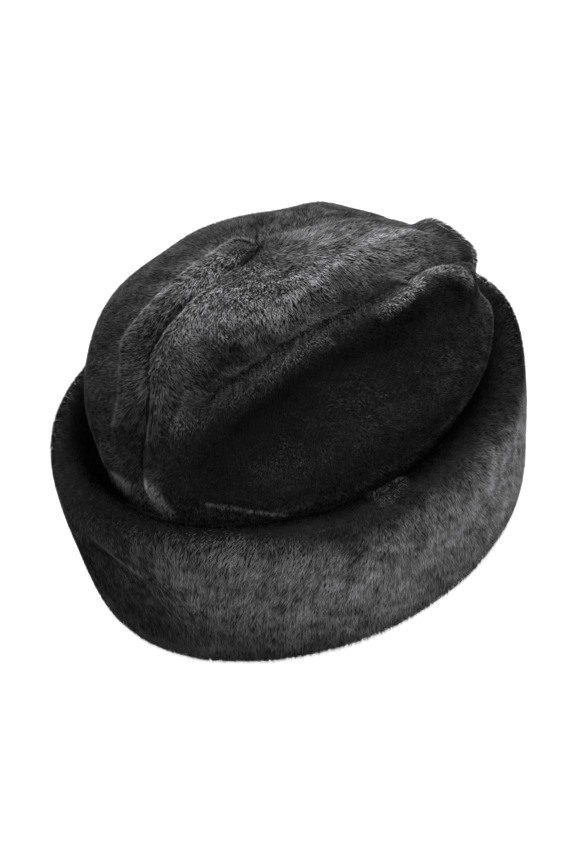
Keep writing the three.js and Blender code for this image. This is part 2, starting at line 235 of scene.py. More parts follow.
# Low tones here are painted shade on the cuff's roll, at its foot and low at the front
CUFF_PILE = (
    (345, 0.45, 0.022, 60, 26, 0.6),
    (8, 0.4, 0.022, 50, 24, 0.85),
    (8, 0.14, 0.018, 20, 30, 0.3),
    (35, 0.4, 0.024, -30, 22, 1),
    (34, 0.1, 0.018, -10, 30, 0.22),
    (58, 0.38, 0.022, -38, 20, 1.15),
    (60, 0.08, 0.016, -10, 30, 0.35),
    (88, 0.1, 0.018, -4, 28, 0.5),
    (115, 0.12, 0.018, 0, 28, 0.6),
    (85, 0.45, 0.022, -8, 20, 0.9),
    (112, 0.5, 0.022, 6, 20, 1),
    (345, 0.8, 0.014, 0, 50, 0.35),
    (5, 0.86, 0.01, 0, 60, 0.9),
    (28, 0.88, 0.01, 0, 62, 0.8),
    (50, 0.8, 0.013, 0, 62, 0.45),
    (70, 0.82, 0.012, 0, 62, 0.45),
    (90, 0.84, 0.012, 0, 62, 0.45),
    (110, 0.84, 0.012, 0, 60, 0.5),
    (130, 0.78, 0.014, 0, 62, 0.4),
    (150, 0.8, 0.014, 0, 56, 0.5),
    (322, 0.5, 0.022, 20, 36, 0.45),
    (298, 0.7, 0.022, 0, 40, 0.3),
    (320, 0.8, 0.02, 0, 50, 0.15),
)
# The comb, lift and tone between the places, and how much they weigh against a place's own
PILE_ELSEWHERE = (0, 30, 1)
ELSEWHERE_WEIGHT = 0.04

# Lines along which the pile parts, and along which shade or highlight is painted into its tone: name,
# half width and sink in metres, tone, and a path of (turn, rise) points. A tone below 1 paints shade and
# a tone above 1 paints a highlight.
CROWN_LINES = (
    # painted shade in the seam's crease, which also sinks the pile there
    ("seam_crease", 0.0014, 0.0009, 0.2, SEAM),
    ("middle_ridge_light", 0.0016, 0, 1.6,
     ((359, 0.701), (11, 0.75), (23, 0.79), (38, 0.81), (59, 0.79), (73, 0.769), (89, 0.756))),
    ("upper_ridge_light", 0.0024, 0, 1.7,
     ((51, 0.665), (62, 0.686), (78, 0.703), (103, 0.716), (119, 0.71), (131, 0.682), (143, 0.594),
      (157, 0.44))),
    ("shade_below_the_upper_ridge", 0.006, 0, 0.4,
     ((22, 0.567), (31, 0.541), (39, 0.552), (50, 0.573), (65, 0.592), (77, 0.614), (86, 0.63))),
    # painted shade in the valley between the ridges
    ("dark_between_the_ridges", 0.008, 0, 0.25, ((97, 0.6), (100, 0.577), (106, 0.555), (112, 0.54))),
    ("shade_above_the_faint_ridge", 0.005, 0, 0.45,
     ((22, 0.36), (32, 0.43), (42, 0.48), (54, 0.52), (66, 0.54), (80, 0.55), (92, 0.53))),
    ("shade_below_the_faint_ridge", 0.007, 0, 0.4,
     ((40, 0.3), (50, 0.355), (60, 0.4), (70, 0.43), (84, 0.42), (95, 0.41), (106, 0.41), (118, 0.4),
      (126, 0.33))),
    ("lower_ridge_shade", 0.005, 0, 0.4, ((80, 0.5), (88, 0.483), (94, 0.478))),
    ("lower_ridge_light", 0.0028, -0.0004, 5,
     ((97, 0.471), (106, 0.469), (113, 0.474), (123, 0.47), (128, 0.434), (130, 0.4), (133, 0.322))),
    # a painted faint highlight along the lower ridge
    ("lower_ridge_faint", 0.0022, 0, 1.5,
     ((23, 0.261), (31, 0.333), (40, 0.387), (49, 0.435), (58, 0.475), (66, 0.494), (76, 0.505))),
    # painted shade in the crease above the lower ridge
    ("crease_above_the_lower_ridge", 0.002, 0.0012, 0.3,
     ((112, 0.493), (118, 0.498), (126, 0.477), (131, 0.446), (146, 0.3))),
    # painted light in the shaded gap between the crown and the cuff
    ("paler_in_the_gap", 0.006, 0, 1.7, tuple((turn, -0.1) for turn in range(0, 361, 15))),
    # a painted highlight along the crown's base
    ("base_line", 0.0012, 0, 8, ((26, 0.055), (36, 0.049), (43, 0.025), (48, -0.005))),
    # painted highlights on two bumps at the crown's base
    ("base_bump_left", 0.004, 0, 7, ((346, 0.0), (352, 0.015))),
    ("base_bump_right", 0.005, 0, 7, ((4, 0.045), (9, 0.035), (10, -0.03))),
)
CUFF_LINES = (
    ("shade_over_the_rim", 0.012, 0, 0.3,
     ((340, 0.9), (355, 0.85), (10, 0.84), (15, 0.865), (24, 0.875), (33, 0.865), (44, 0.825), (51, 0.785),
      (58, 0.72), (62, 0.685), (66, 0.705), (74, 0.75), (81, 0.79), (90, 0.77), (99, 0.785), (106, 0.76),
      (112, 0.74), (121, 0.7), (135, 0.67), (152, 0.68))),
    ("shade_by_the_crown", 0.015, 0, 0.3,
     ((325, 0.93), (345, 0.96), (20, 0.98), (45, 0.96), (60, 0.88), (70, 0.89), (82, 0.94), (95, 0.93),
      (110, 0.9), (122, 0.87), (135, 0.84), (152, 0.85))),
    ("shade_at_the_foot", 0.015, 0, 0.5, tuple((turn, 0.02) for turn in range(-40, 141, 20))),
    ("shade_low_at_the_front", 0.024, 0, 0.6, ((345, 0.34), (0, 0.28), (14, 0.2), (30, 0.14), (46, 0.1))),
    # painted shade in the wrinkle at the front
    ("front_wrinkle", 0.0014, 0.001, 0.5, ((2, 0.595), (7, 0.584), (13, 0.552))),
    ("lit_patch_by_the_crown", 0.0055, 0, 25, ((73, 0.78), (78, 0.795))),
    # painted light in the shaded gap between the cuff and the crown
    ("paler_in_the_gap", 0.008, 0, 3, tuple((turn, 0.93) for turn in range(0, 361, 15))),
)

# Steps along the sections of the crown and the cuff, and round half the crown and the whole cuff
CROWN_STEPS, CROWN_TURN_STEPS = 64, 110
CUFF_STEPS, CUFF_TURN_STEPS = 64, 220
# Points closer than this are one
MERGE_APART = 1e-5
# The crown's cloth lies this much deeper than the pile is, so that the tips keep within the solid
CROWN_TUCK = 0.0005
# The pile gets its full depth between these shares of the cuff's height, and of the cuff's section
CROWN_PILE_GROWS = (0.8, 1)
CUFF_PILE_GROWS = (0, 0.1)
# Heights of the points of the cuff's inner wall, as shares of its height
CUFF_WALL = (0.6, 0.3, 0)
# From this share of its section on, the cuff's cloth keeps this far clear of the crown's
CUFF_BESIDE_CROWN = 0.7
CUFF_CLEARANCE = 0.0006
# The pile grows where it can be seen or felt: on the crown from this rise up, and on the cuff up to this
# rise and above this height
CROWN_PILE_FROM = -0.12
CUFF_PILE_TO = 0.93
CUFF_PILE_ABOVE = 0.0035
# No hair reaches below this height, because those at the foot bend where the hat stands on them
FLOOR_CLEARANCE = 0.0002
# Over the crown's top the pile runs to one turn and stands at one lift, each from a first rise to a second
TOP_RUN = {"turn": 70, "rises": (0.9, 0.99)}
TOP_LIFT = {"lift": 50, "rises": (0.93, 0.985)}
# The darkest and the palest hairs, as shares of the pile's colour
TONES = (0.04, 3)
# How uneven the pile is: the spread from hair to hair, and waves with their height, size in metres, seed
# and, where it isn't the usual one, count. Comb and lift are in degrees, the rest are shares.
UNEVEN = {
    "comb": (12, ((10, 0.03, 101), (6, 0.007, 102))),
    "lift": (8, ((4, 0.02, 103),)),
    "depth": (0.06, ((0.05, 0.02, 104),)),
    "tone": (0.36, ((0.12, 0.02, 106), (0.16, 0.006, 107), (0.18, 0.0025, 108, 24))),
}
LIFT_LIMITS = (6, 80)
DEPTH_LIMITS = (0.8, 1.15)
# How much hairs lean to the middle of their tuft: the usual share, its waves and its limits
TUFT_PULL = {"share": 0.12, "waves": (0.1, 0.02, 105), "limits": (0, 0.35)}
# The widest place of a bent hair, as shares of the tip's height, reach and pull
HAIR_MIDDLE = {"height": 0.62, "reach": 0.35, "pull": 0.4}
# How far a hair is twisted, in radians, and half its width as a share of the whole
HAIR_TWIST = (-0.7, 0.7)
HAIR_HALF = (0.35, 0.62)
SEEDS = {"crown_left": 11, "crown_right": 23, "cuff": 37, "tufts": 11}
SQUARE_MM = 1e6
# The roughness of the darkest and of the palest hairs, and how much all of them mirror
PILE_GLOSS = {"rough": (1, 0.7), "mirror": 0.03}
CLOTH_GLOSS = {"rough": 0.8, "mirror": 0.1, "sheen": 0.02}
# Colour, distance between threads and their relief in metres. The threads are drawn a little coarser than
# real ones, so that they show.
BACKING_CLOTH = {"colour": linear("#1f1f1f"), "thread": 0.0012, "relief": 0.0003}
LINING_THREAD = {"thread": 0.0006, "relief": 0.0001}
# How far apart the wave texture draws its bands at a scale of 1, in metres
BANDS_APART = 0.314

# The camera that fits the photograph: angles in degrees, lengths in metres, lens in millimetres
CAMERA = {
    "azimuth": 49, "elevation": 38.2, "roll": -9.8, "distance": 1.16, "lens": 93.37, "film": 36,
    "target": (-0.00066, -0.00262, 0.06), "shift": (-2.0 / 864, -5.4 / 864), "sees": (0.01, 50),
}
# Soft boxes: name, azimuth and elevation in degrees, distance and size in metres, power in watts, and
# how the names of the pieces start that it is aimed at, with flags that keep it off the others
LIGHTS = (
    ("key_above", 226, 58, 1.8, 0.8, 130, "crown"),
    ("cuff_right", 98, 16, 1.8, 0.6, 44, "cuff"),
    ("cuff_behind", 255, 14, 1.8, 0.6, 34, "cuff"),
)
ROOM_LIGHT = 0.45
# The light table: half its side, how far its face is below the hat's foot, and how bright it glows
FLOOR = {"half": 4, "below": 0.0002, "glow": 0.9}


class HatSizes(PropertyGroup):
    """The sizes of the hat, as its solids have them"""

    head_length: FloatProperty(name="Head length", description="Length of the opening for the head",
                               default=0.198, unit="LENGTH")
    head_width: FloatProperty(name="Head width", description="Width of the opening for the head",
                              default=0.168, unit="LENGTH")
    crown_height: FloatProperty(name="Crown height", description="From the floor to the crown's top",
                                default=0.165, unit="LENGTH")
    crown_length: FloatProperty(name="Crown length", description="The crown from front to back",
                                default=0.228, unit="LENGTH")
    crown_width: FloatProperty(name="Crown width", description="The crown from side to side",
                               default=0.198, unit="LENGTH")
    cloth_wall: FloatProperty(name="Cloth", description="Thickness of the cloth inside the cuff",
                              default=0.004, unit="LENGTH")
    seam_gap: FloatProperty(name="Seam gap", description="The cut between the two panels of the crown",
                            default=0.00002, unit="LENGTH")
    crown_edge_lift: FloatProperty(name="Crown edge", description="Height of the crown's lower edge",
                                   default=0.003, unit="LENGTH")
    cuff_height: FloatProperty(name="Cuff height", description="Height of the turned-up band",
                               default=0.086, unit="LENGTH")
    cuff_thickness: FloatProperty(name="Cuff thickness", description="The folded band with its pile",
                                  default=0.025, unit="LENGTH")
    fold_width: FloatProperty(name="Fold width", description="What the folds' widths are shares of",
                              default=0.02, unit="LENGTH")
    fold_height: FloatProperty(name="Fold height", description="What the folds' heights are shares of",
                               default=0.01, unit="LENGTH")
    pile_depth: FloatProperty(name="Pile depth", description="From the cloth to the tips of the pile",
                              default=0.0024, unit="LENGTH")
    backing: FloatProperty(name="Backing", description="Thickness of the cloth that the pile grows on",
                           default=0.0025, unit="LENGTH")


class PileLook(PropertyGroup):
    """The pile's hairs and their colours"""

    lean: FloatProperty(name="Lean", description="How far the sheared hairs lean over, as a share",
                        default=0.75)
    reach: FloatProperty(name="Reach", description="The furthest that a hair's tip is from its root",
                         default=0.005, unit="LENGTH")
    width: FloatProperty(name="Width", description="Width of a hair, or of a few that lie together",
                         default=0.00027, unit="LENGTH")
    density: FloatProperty(name="Density", description="Hairs on each square millimetre", default=2.9)
    clump: FloatProperty(name="Clump", description="Distance between the tufts that hairs lean to",
                         default=0.0024, unit="LENGTH")
    tip: FloatVectorProperty(name="Tip colour", description="Colour of the hairs' tips", size=3,
                             subtype="COLOR", min=0, max=1, default=linear("#626263"))
    root: FloatVectorProperty(name="Root colour", description="Colour of the hairs' roots", size=3,
                              subtype="COLOR", min=0, max=1, default=linear("#121213"))
    lining: FloatVectorProperty(name="Lining colour", description="Colour of the lining", size=3,
                                subtype="COLOR", min=0, max=1, default=linear("#1c1b1e"))


def column(rows, key, name):
    """A smooth line through one column of a table, over its key column."""
    keys = np.array([row[key] for row in rows], float)
    values = np.array([row[name] for row in rows], float)
    steps = np.diff(keys)
    before = np.append(-0.5, steps[1:] / (2 * steps[:-1]))
    after = np.append(steps[:-1] / (2 * steps[1:]), -0.5)
    last = len(keys) - 1

    def line(at):
        at = np.clip(at, keys[0], keys[-1])
        i = np.clip(np.searchsorted(keys, at, side="right") - 1, 0, last - 1)
        p = (at - keys[i]) / steps[i]
        previous = values[np.where(i == 0, 1, i - 1)]
        following = values[np.where(i == last - 1, last - 1, i + 2 - (i == last - 1))]
        b, a = before[i], after[i]
        return (
            previous * (-b * p**3 + 2 * b * p**2 - b * p)
            + values[i] * ((1 + b) * p**3 + (-1.5 - 2 * b) * p**2 + (-0.5 + b) * p + 1)
            + values[i + 1] * ((-1 - a) * p**3 + (1.5 + a) * p**2 + 0.5 * p)
            + following * (a * p**3 - a * p**2)
        )

    return line


def round_column(rows, name):
    """The same for a table that goes round the hat, over the turn in radians."""
    laps = [{**row, "turn": row["turn"] + lap} for lap in (-360, 0, 360) for row in rows]
    line = column(laps, "turn", name)
    return lambda turn: line((np.degrees(turn) + 360) % 360)


def smooth(value, low, high):
    """How far a value is from low to high, from 0 to 1 with soft ends."""
    share = np.clip((value - low) / (high - low), 0, 1)
    return share * share * (3 - 2 * share)


def lerp(a, b, share):
    return a + (b - a) * share


def outline(points, steps):
    """Points at equal distances along a smooth line through these points, and the line itself."""
    ends = np.vstack([points[:1], points, points[-1:]])
    p = np.linspace(0, 1, 21)[:-1, None]
    line = []
    for a, b, c, d in zip(ends, ends[1:], ends[2:], ends[3:]):
        start, stop = (c - a) / 2, (d - b) / 2
        line.append((2 * b - 2 * c + start + stop) * p**3 + (3 * c - 3 * b - 2 * start - stop) * p**2
                    + start * p + b)
    line = np.vstack([*line, points[-1:]])
    lengths = np.append(0, np.cumsum(np.linalg.norm(np.diff(line, axis=0), axis=1)))
    shares = lengths / lengths[-1]

    def at(share):
        return np.stack([np.interp(share, shares, line[:, k]) for k in range(line.shape[1])], axis=-1)

    return at(np.linspace(0, 1, steps + 1)), at


def through(corners, steps=36):
    """Points along a smooth line through these corners, evened out by the corners' distances."""
    corners = np.asarray(corners, float)
    ends = np.vstack([2 * corners[0] - corners[1], corners, 2 * corners[-1] - corners[-2]])
    spans = np.maximum(np.linalg.norm(np.diff(ends, axis=0), axis=1) ** 0.5, 1e-4)
    out = []
    for share in np.linspace(0, len(corners) - 1, steps + 1):
        i = min(int(share), len(corners) - 2)
        a, b, c, d = ends[i:i + 4]
        d0, d1, d2 = spans[i:i + 3]
        start = ((b - a) / d0 - (c - a) / (d0 + d1) + (c - b) / d1) * d1
        stop = ((c - b) / d1 - (d - b) / (d1 + d2) + (d - c) / d2) * d1
        p = share - i
        out.append((2 * b - 2 * c + start + stop) * p**3 + (3 * c - 3 * b - 2 * start - stop) * p**2
                   + start * p + b)
    return np.array(out)


def fold_lift(folds, points, sizes):
    """How far folds lift or sink the surface at each point."""
    lift = np.zeros(len(points))
    for wide, high, line in folds:
        nearest = np.full(len(points), np.inf)
        for a, b in zip(line, line[1:]):
            along = b - a
            share = np.clip((points - a) @ along / max(along @ along, 1e-12), 0, 1)
            nearest = np.minimum(nearest, np.linalg.norm(points - a - share[:, None] * along, axis=1))
        share = np.minimum(1, nearest / (wide * sizes.fold_width))
        lift += high * sizes.fold_height * (1 - share * share) ** 2
    return lift


class Form:
    """The smooth form of a piece, on which a place is a turn round the hat and a rise along the section."""

    def shape(self, corners, steps, folds):
        """Sets the section through these corners, and the lines of the folds on the form."""
        self.section, self.section_at = outline(np.array(corners), steps)
        self.folds = [(wide, high, through(self.spots(path))) for _, wide, high, path in folds]

    def spots(self, path):
        """The points of the form at (turn, rise) pairs."""
        turns, rises = np.array(path, float).T
        return self.place(np.radians(turns), *self.section_at(rises).T)


class Crown(Form):
    """The form of the crown for a set of sizes."""

    reach = staticmethod(round_column(CROWN_TURNS, "reach"))
    up = staticmethod(round_column(CROWN_TURNS, "up"))
    ahead = staticmethod(column(CROWN_SECTIONS, "up", "ahead"))
    right = staticmethod(column(CROWN_SECTIONS, "up", "right"))
    sway = staticmethod(column(CROWN_SWAY, "along", "sway"))

    def __init__(self, sizes):
        self.sizes = sizes
        self.radius = (sizes.crown_length + sizes.crown_width) / 4
        corners = [(row["reach"] * self.radius, lerp(sizes.cuff_height, sizes.crown_height, row["up"]))
                   for row in CROWN_SECTIONS]
        self.shape(corners, CROWN_STEPS, CROWN_FOLDS)
        self.section[-1, 0] = 0

    def profile(self):
        """The outline from the lower edge to the top, with how far along the shown part each is."""
        sizes = self.sizes
        low = [sizes.crown_edge_lift, sizes.cuff_height * 0.4, sizes.cuff_height * CROWN_GROWS[0]]
        rows = [(self.radius, height, -1 + i / 3) for i, height in enumerate(low)]
        share = np.linspace(0, 1, len(self.section))
        return rows + [(x, y, rise) for (x, y), rise in zip(self.section, share)]

    def place(self, turn, distance, height):
        """The point of the crown's smooth form before it leans."""
        s = self.sizes
        share = distance / self.radius
        grown = smooth(height, s.cuff_height * CROWN_GROWS[0], s.cuff_height * CROWN_GROWS[1])
        reach = share * lerp(1, self.reach(turn), grown)
        half_length = lerp(s.head_length / 2 + s.cloth_wall, s.crown_length / 2, grown)
        half_width = lerp(s.head_width / 2 + s.cloth_wall, s.crown_width / 2, grown)
        shown = np.maximum(0, height - s.cuff_height)
        return np.stack([
            half_width * reach * np.sin(turn),
            -half_length * reach * np.cos(turn),
            height + shown * (self.up(turn) - 1) * smooth(share, 0, 0.7),
        ], axis=-1)

    def leaned(self, points):
        """The points after the crown leans ahead and to the right."""
        s = self.sizes
        up = (points[:, 2] - s.cuff_height) / (s.crown_height - s.cuff_height)
        along = points[:, 1] / (s.crown_length / 2)
        out = points.copy()
        out[:, 0] += s.crown_width / 2 * self.right(up) * self.sway(along)
        out[:, 1] -= s.crown_length / 2 * self.ahead(up)
        return out


class Cuff(Form):
    """The form of the cuff for a set of sizes."""

    out = staticmethod(round_column(CUFF_TURNS, "out"))
    up = staticmethod(round_column(CUFF_TURNS, "up"))
    flare = staticmethod(round_column(CUFF_TURNS, "flare"))

    def __init__(self, sizes):
        self.sizes = sizes
        corners = [(row["out"] * sizes.cuff_thickness, row["up"] * sizes.cuff_height)
                   for row in CUFF_SECTION]
        self.shape(corners, CUFF_STEPS, CUFF_FOLDS)

    def place(self, turn, out, up):
        """The point of the cuff's smooth form, out from the crown and up."""
        s = self.sizes
        height = np.maximum(0, up)
        flare = self.flare(turn) * s.cuff_thickness * (height / s.cuff_height) ** 2
        beyond = s.cloth_wall + np.where(out > 0, out * self.out(turn) + flare, out)
        return np.stack([
            (s.head_width / 2 + beyond) * np.sin(turn),
            -(s.head_length / 2 + beyond) * np.cos(turn),
            height * self.up(turn),
        ], axis=-1)


def new_skin():
    """An empty bmesh whose points carry what the pile needs of them."""
    bm = bmesh.new()
    bm.verts.layers.float_vector.new("form")
    bm.verts.layers.float.new("depth")
    return bm, bm.verts.layers.float.new("rise")


def in_order(bm, layer):
    """The same skin with its points and faces in the same order on each run, because merging doubles
    leaves them in any order and the hairs are dealt out in theirs."""

    def place(vert):
        turn = math.atan2(vert.co.x, -vert.co.y) if vert.co.xy.length > MERGE_APART else 0
        return round(vert[layer], 5), round(vert.co.z, 5), round(turn, 4)

    ordered, new_layer = new_skin()
    copies = {}
    for vert in sorted(bm.verts, key=place):
        copies[vert] = ordered.verts.new(vert.co)
        copies[vert][new_layer] = vert[layer]
    ordered.verts.index_update()
    faces = []
    for face in bm.faces:
        corners = [copies[vert] for vert in face.verts]
        first = corners.index(min(corners, key=lambda vert: vert.index))
        faces.append(corners[first:] + corners[:first])
    for corners in sorted(faces, key=lambda corners: [vert.index for vert in corners]):
        ordered.faces.new(corners)
    bm.free()
    return ordered


def turned(profile, start, angle, steps, closed=False):
    """A skin of a profile of (distance, height, rise) rows turned about the Z axis."""
    bm, layer = new_skin()
    verts = []
    for distance, height, rise in profile:
        vert = bm.verts.new((distance * math.sin(start), -distance * math.cos(start), height))
        vert[layer] = rise
        verts.append(vert)
    edges = [bm.edges.new(pair) for pair in zip(verts, verts[1:])]
    if closed:
        edges.append(bm.edges.new((verts[-1], verts[0])))
    bmesh.ops.spin(bm, geom=[*verts, *edges], cent=(0, 0, 0), axis=(0, 0, 1), dvec=(0, 0, 0),
                   angle=angle, steps=steps, use_merge=closed)
    bmesh.ops.remove_doubles(bm, verts=bm.verts, dist=MERGE_APART)
    bmesh.ops.recalc_face_normals(bm, faces=bm.faces)
    return in_order(bm, layer)


def keep_form(bm, points, depths):
    """Keeps each point's place on the smooth form, which the tables mean, and the pile's depth there."""
    form, depth = bm.verts.layers.float_vector["form"], bm.verts.layers.float["depth"]
    for vert, point, deep in zip(bm.verts, points, depths):
        vert[form] = point
        vert[depth] = deep


def places(bm):
    """The places of a bmesh's points."""
    return np.array([v.co for v in bm.verts])


def place_all(bm, points):
    """Moves a bmesh's points to these places."""
    for vert, point in zip(bm.verts, points):
        vert.co = point
    bm.normal_update()


def normals(bm):
    return np.array([v.normal for v in bm.verts])


def add_piece(name, mesh, materials, smoothed=True):
    """A finished piece on the hat's own body, with its materials."""
    piece = bpy.data.objects.new(name, mesh)
    bpy.context.scene.collection.objects.link(piece)
    for material in materials:
        mesh.materials.append(material)
    mesh.shade_smooth() if smoothed else mesh.shade_flat()
    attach(piece, "root")
    return piece


def add_node(tree, kind, settings=None, **inputs):
    """Adds a node, sets its settings and fills or links its inputs."""
    node = tree.nodes.new(kind)
    for key, value in (settings or {}).items():
        setattr(node, key, value)
    for key, value in inputs.items():
        socket = node.inputs[int(key[1:])] if key[0] == "i" and key[1:].isdigit() else node.inputs[key]
        if isinstance(value, bpy.types.NodeSocket):
            tree.links.new(value, socket)
        else:
            socket.default_value = value
    return node


def new_material(name):
    material = bpy.data.materials.new(name)
    material.use_nodes = True
    material.node_tree.nodes.clear()
    return material, material.node_tree


def finish_material(tree, shader):
    end = tree.nodes.new("ShaderNodeOutputMaterial")
    tree.links.new(shader.outputs[0], end.inputs["Surface"])


def pile_material(name, look):
    """Sheared pile of black modacrylic fibres: matt, nearly black at the roots and grey at the tips, each
    hair's colour scaled by its tone, which holds painted shade and highlight beside random unevenness. Paler
    hairs are a little less rough."""
    material, tree = new_material(name)
    place = add_node(tree, "ShaderNodeUVMap", {"uv_map": "OFBake"})
    parts = add_node(tree, "ShaderNodeSeparateXYZ", i0=place.outputs["UV"])
    along = add_node(tree, "ShaderNodeMapRange", {"interpolation_type": "SMOOTHSTEP"},
                     i0=parts.outputs["Y"], i1=0.1, i2=0.95, i3=0.0, i4=1.0)
    colour = add_node(tree, "ShaderNodeMix", {"data_type": "RGBA"}, i0=along.outputs[0],
                      i6=[*look.root, 1], i7=[*look.tip, 1])
    shade = add_node(tree, "ShaderNodeMapRange", None, i0=parts.outputs["X"], i1=0.0, i2=1.0,
                     i3=TONES[0], i4=TONES[1])
    toned = add_node(tree, "ShaderNodeVectorMath", {"operation": "SCALE"}, i0=colour.outputs[2],
                     Scale=shade.outputs[0])
    rough = add_node(tree, "ShaderNodeMapRange", None, i0=parts.outputs["X"], i1=0.0, i2=1.0,
                     i3=PILE_GLOSS["rough"][0], i4=PILE_GLOSS["rough"][1])
    shader = add_node(tree, "ShaderNodeBsdfPrincipled", None, Roughness=rough.outputs[0],
                      **{"Specular IOR Level": PILE_GLOSS["mirror"]})
    tree.links.new(toned.outputs[0], shader.inputs["Base Color"])
    finish_material(tree, shader)
    return material


def cloth_material(name, colour, thread, relief):
    """Polyester cloth, knitted for the pile's backing and woven for the satin lining: dark, matt and even,
    with fine threads across each other, so that only black shows between the hairs."""
    material, tree = new_material(name)
    place = add_node(tree, "ShaderNodeTexCoord")
    bands = []
    for turn in (0, math.pi / 2):
        turned_by = add_node(tree, "ShaderNodeMapping", None, Vector=place.outputs["Object"],
                             Rotation=(0.4, 0.3, turn))
        bands.append(add_node(tree, "ShaderNodeTexWave", {"wave_type": "BANDS"},
                              Vector=turned_by.outputs[0], Scale=BANDS_APART / thread, Distortion=0.6,
                              Detail=1.0))
    weave = add_node(tree, "ShaderNodeMath", {"operation": "MAXIMUM"}, i0=bands[0].outputs["Fac"],
                     i1=bands[1].outputs["Fac"])
    bump = add_node(tree, "ShaderNodeBump", None, Height=weave.outputs[0], Distance=relief, Strength=0.5)
    tone = add_node(tree, "ShaderNodeMapRange", None, i0=weave.outputs[0], i1=0.0, i2=1.0, i3=0.7, i4=1.2)
    toned = add_node(tree, "ShaderNodeVectorMath", {"operation": "SCALE"}, i0=colour, Scale=tone.outputs[0])
    shader = add_node(tree, "ShaderNodeBsdfPrincipled", None, Roughness=CLOTH_GLOSS["rough"],
                      Normal=bump.outputs[0], **{"Specular IOR Level": CLOTH_GLOSS["mirror"]})
    shader.inputs["Sheen Weight"].default_value = CLOTH_GLOSS["sheen"]
    tree.links.new(toned.outputs[0], shader.inputs["Base Color"])
    finish_material(tree, shader)
    return material


def light_table_material(name):
    """White opal acrylic of a light table, cast and lit from below: even white, on which the hat throws
    only a faint shadow."""
    material, tree = new_material(name)
    shader = add_node(tree, "ShaderNodeBsdfPrincipled", None, Roughness=0.8)
    shader.inputs["Base Color"].default_value = [*linear("#e8e8e8"), 1]
    shader.inputs["Emission Color"].default_value = (1, 1, 1, 1)
    shader.inputs["Emission Strength"].default_value = FLOOR["glow"]
    finish_material(tree, shader)
    return material


def material_of(name, make, *facts):
    """The material of this name, made the first time that it is asked for."""
    return bpy.data.materials.get(name) or make(name, *facts)


def crown_skin(crown, side, inset):
    """Half of the crown's outer cloth as an open shell, inset from the tips of the pile."""
    start = 0 if side > 0 else math.pi
    bm = turned(crown.profile(), start, math.pi, CROWN_TURN_STEPS)
    at = places(bm)
    turn = np.arctan2(at[:, 0], -at[:, 1])
    on_seam = np.abs(at[:, 0]) < 1e-6
    place_all(bm, crown.place(turn, np.hypot(at[:, 0], at[:, 1]), at[:, 2]))
    points, out = places(bm), normals(bm)
    out[on_seam, 0] = 0
    out /= np.linalg.norm(out, axis=1, keepdims=True)
    grows = [share * crown.sizes.cuff_height for share in CROWN_PILE_GROWS]
    depths = inset * smooth(points[:, 2], *grows)
    keep_form(bm, points, depths)
    lift = fold_lift(crown.folds, points, crown.sizes) - depths - CROWN_TUCK
    points = points + out * lift[:, None]
    points[on_seam, 0] = side * crown.sizes.seam_gap / 2
    place_all(bm, crown.leaned(points) + HAT_AXIS)
    return bm


def cuff_skin(cuff, inset, crown_tree):
    """The cuff's cloth as a closed ring, inset from the tips of the pile and clear of the crown."""
    wall = CUFF_SECTION[-1]["out"] * cuff.sizes.cuff_thickness
    # The section is turned at this distance from the axis, and cuff.place then bends it round the head
    middle = cuff.sizes.cuff_thickness * 2
    share = np.linspace(0, 1, len(cuff.section))
    profile = [(x + middle, y, rise) for (x, y), rise in zip(cuff.section, share)]
    inner = [(wall + middle, height * cuff.sizes.cuff_height, 1 + i / 10)
             for i, height in enumerate(CUFF_WALL)]
    bm = turned(profile + inner, 0, 2 * math.pi, CUFF_TURN_STEPS, closed=True)
    at = places(bm)
    turn = np.arctan2(at[:, 0], -at[:, 1])
    place_all(bm, cuff.place(turn, np.hypot(at[:, 0], at[:, 1]) - middle, at[:, 2]))
    points, out = places(bm), normals(bm)
    rise = np.array([v[bm.verts.layers.float["rise"]] for v in bm.verts])
    depths = inset * smooth(rise, *CUFF_PILE_GROWS)
    keep_form(bm, points, depths)
    lift = fold_lift(cuff.folds, points, cuff.sizes) - depths
    lift[points[:, 2] <= 0] = 0
    lift[rise > 1] = 0
    points = points + out * lift[:, None]
    points[:, 2] = np.maximum(points[:, 2], 0)
    points += HAT_AXIS
    for i in np.nonzero(rise > CUFF_BESIDE_CROWN)[0]:
        near, normal, _, _ = crown_tree.find_nearest(points[i])
        if (Vector(points[i]) - near).dot(normal) < CUFF_CLEARANCE:
            points[i] = near + normal * CUFF_CLEARANCE
    place_all(bm, points)
    return bm


def bmesh_to_mesh(bm, name):
    mesh = bpy.data.meshes.new(name)
    bm.to_mesh(mesh)
    bm.free()
    return mesh


def waves(points, size, seed, count=14):
    """Smooth noise from -1 to 1 or so, with bumps of about this size, as a sum of random waves."""
    rng = np.random.default_rng(seed)
    ways = rng.normal(size=(count, 3))
    ways *= (rng.uniform(0.6, 1.4, count) / size / np.linalg.norm(ways, axis=1))[:, None]
    phases = rng.uniform(0, 2 * math.pi, count)
    total = np.zeros(len(points))
    for way, phase in zip(ways, phases):
        total += np.sin(points @ way * math.pi + phase)
    return total / math.sqrt(count / 2)


def unit(vectors):
    """The vectors at a length of 1."""
    return vectors / np.maximum(np.linalg.norm(vectors, axis=1, keepdims=True), 1e-12)


def pile_at(roots, rows, spots):
    """The comb, lift and tone of the pile at each root, from a table and its rows' own points; the tone
    carries the table's painted shade and highlight.
    """
    weights = np.full(len(roots), ELSEWHERE_WEIGHT)
    total = np.outer(weights, PILE_ELSEWHERE)
    for (_, _, reach, *pile), spot in zip(rows, spots):
        apart = np.linalg.norm(roots - spot, axis=1) / reach
        weight = np.exp(-0.5 * apart * apart)
        total += np.outer(weight, pile)
        weights += weight
    return (total / weights[:, None]).T


def uneven(name, roots, rng):
    """How far each hair departs from the rest in one respect, in waves and by itself."""
    spread, ripples = UNEVEN[name]
    return sum(high * waves(roots, *facts) for high, *facts in ripples) + rng.normal(0, spread, len(roots))


